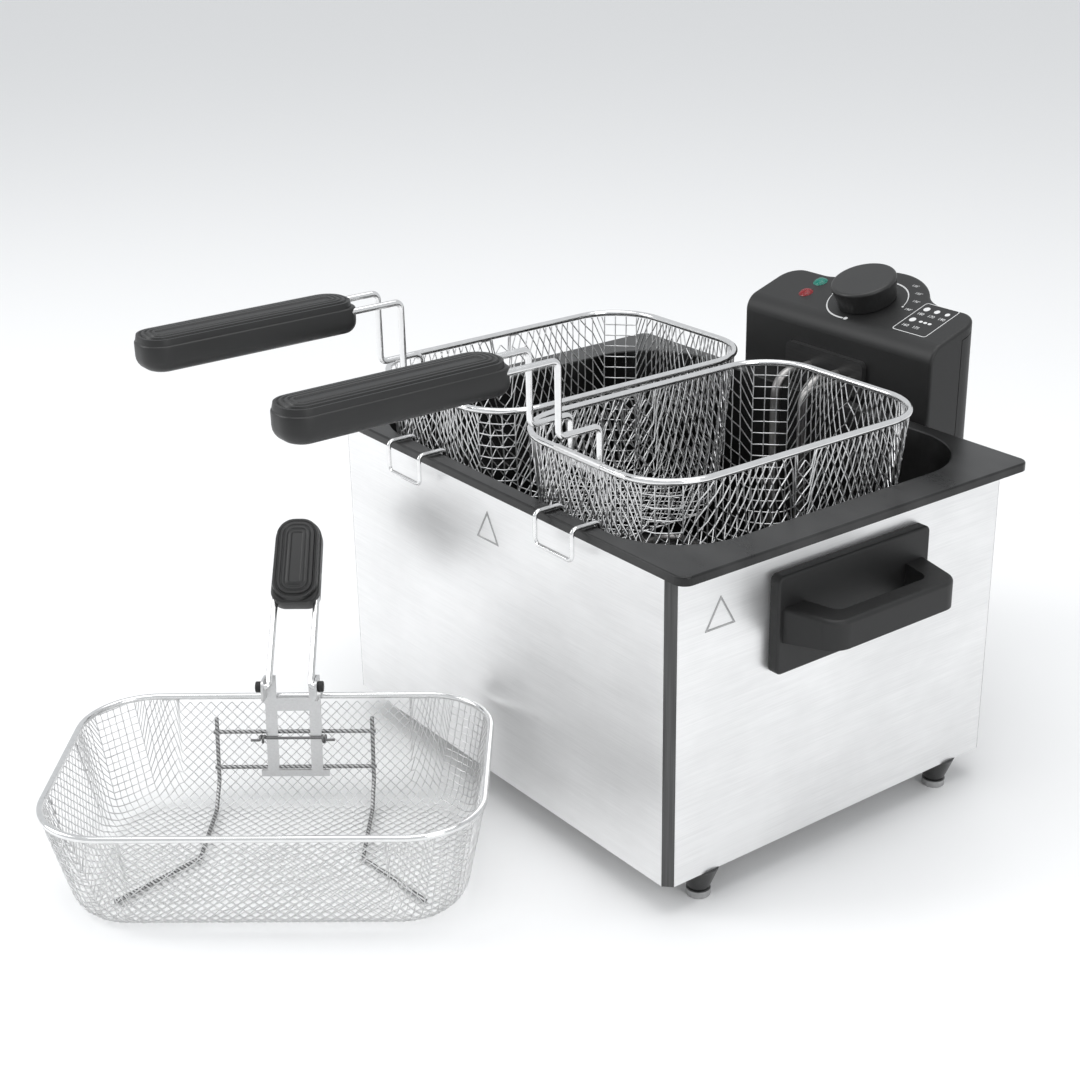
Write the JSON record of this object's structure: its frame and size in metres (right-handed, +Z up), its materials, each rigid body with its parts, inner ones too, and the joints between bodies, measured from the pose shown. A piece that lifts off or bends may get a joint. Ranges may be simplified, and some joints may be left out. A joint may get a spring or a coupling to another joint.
{
  "type": "deep fryer",
  "caption": "Twin-basket electric deep fryer: steel box on feet, lift-out oil pot, lift-off control unit with immersed element, hung wire baskets and a spare wide basket.",
  "frame": {"origin": "on the table, at the middle of the footprint of the whole set of fryer and spare basket", "axes": "+Z up, +X to the right seen from the front, -Y towards the front where the baskets hook on, +Y towards the control unit"},
  "size_m": [0.4, 0.6093, 0.3165],
  "materials": {
    "brushed_panel": "fine horizontal brushing, pale and slightly satin",
    "post_paint": "dark grey satin paint",
    "galvanised": "dull zinc plate",
    "foot_rubber": "black moulded rubber",
    "screw_steel": "bright zinc",
    "handle_plastic": "black phenolic, soft sheen",
    "grip_plastic": "black phenolic with moulded ribs, soft sheen",
    "housing_plastic": "black, fine texture",
    "knob_plastic": "black, fine texture, softly worn edge",
    "button_red": "gloss red",
    "pot_enamel": "black non-stick coating, satin, bare grey on the lip",
    "lens_green": "clear green lens",
    "lens_red": "clear red lens",
    "terminal_ceramic": "white ceramic",
    "element_plate": "dark grey satin",
    "element_steel": "bright drawn tube, slightly heat tinted",
    "net_wire": "plated woven wire",
    "chrome_wire": "bright plated wire",
    "bracket_steel": "pressed sheet, satin"
  },
  "bodies": {
    "housing": {"base_plate": "galvanised", "corner_post_front_left": "post_paint", "corner_post_front_right": "post_paint", "corner_post_rear_left": "post_paint", "corner_post_rear_right": "post_paint", "foot_front_left": "foot_rubber", "foot_front_right": "foot_rubber", "foot_rear_left": "foot_rubber", "foot_rear_right": "foot_rubber", "foot_screws": "screw_steel", "handle_screws": "screw_steel", "panel_front": "brushed_panel", "panel_left": "brushed_panel", "panel_rear": "brushed_panel", "panel_right": "brushed_panel", "rear_guide": "galvanised", "side_handle_left": "handle_plastic", "side_handle_right": "handle_plastic"},
    "oil_pot": {"pot": "pot_enamel"},
    "control_unit": {"control_front": "housing_plastic", "control_rear": "housing_plastic", "guide_shoe": "housing_plastic", "thermostat": "screw_steel", "lens_green": "lens_green", "lens_red": "lens_red", "cable_gland": "foot_rubber", "terminal_block": "terminal_ceramic", "element_head": "element_plate", "heating_element": "element_steel", "thermostat_probe": "element_steel"},
    "thermostat_knob": {"knob": "knob_plastic"},
    "reset": {"reset_button": "button_red"},
    "large_basket": {"basket_large_net": "net_wire", "basket_large_rim": "chrome_wire", "basket_large_frame": "chrome_wire", "basket_large_bracket": "bracket_steel", "basket_large_spring": "bracket_steel"},
    "large_basket_handle": {"basket_large_handle_wire": "chrome_wire", "basket_large_grip": "grip_plastic"},
    "basket_left": {"basket_left_net": "net_wire", "basket_left_rim": "chrome_wire", "basket_left_hook": "chrome_wire", "basket_left_clip": "bracket_steel"},
    "basket_handle_left": {"basket_left_handle_wire": "chrome_wire", "basket_left_grip": "grip_plastic"},
    "basket_right": {"basket_right_net": "net_wire", "basket_right_rim": "chrome_wire", "basket_right_hook": "chrome_wire", "basket_right_clip": "bracket_steel"},
    "basket_handle_right": {"basket_right_handle_wire": "chrome_wire", "basket_right_grip": "grip_plastic"}
  },
  "joints": [
    {"name": "pot_lift", "type": "slide", "parent": "housing", "child": "oil_pot", "axis": [0, 0, 1], "range_m": [0, 0.16]},
    {"name": "control_unit_lift", "type": "slide", "parent": "oil_pot", "child": "control_unit", "axis": [0, 0, 1], "range_m": [0, 0.15]},
    {"name": "thermostat_turn", "type": "hinge", "parent": "control_unit", "child": "thermostat_knob", "pos_m": [0.005, 0.26766, 0.26775], "axis": [0, 0.309, -0.9511], "range_deg": [0, 260]},
    {"name": "reset_press", "type": "slide", "parent": "control_unit", "child": "reset", "axis": [0, -1, 0], "range_m": [0, 0.0018], "stiffness_N_per_m": 600, "springref_m": -0.001},
    {"name": "large_basket_lift", "type": "slide", "parent": "housing", "child": "large_basket", "axis": [0, 0, 1], "range_m": [0, 0.08]},
    {"name": "large_handle_fold", "type": "hinge", "parent": "large_basket", "child": "large_basket_handle", "pos_m": [-0.08095, -0.12887, 0.07953], "axis": [0.6157, 0.788, 0], "range_deg": [0, 135]},
    {"name": "basket_left_lift", "type": "slide", "parent": "control_unit", "child": "basket_left", "axis": [0, 0, 1], "range_m": [0, 0.12]},
    {"name": "basket_left_handle_out", "type": "slide", "parent": "basket_left", "child": "basket_handle_left", "axis": [0, 0, 1], "range_m": [0, 0.03]},
    {"name": "basket_right_lift", "type": "slide", "parent": "control_unit", "child": "basket_right", "axis": [0, 0, 1], "range_m": [0, 0.12]},
    {"name": "basket_right_handle_out", "type": "slide", "parent": "basket_right", "child": "basket_handle_right", "axis": [0, 0, 1], "range_m": [0, 0.03]}
  ]
}
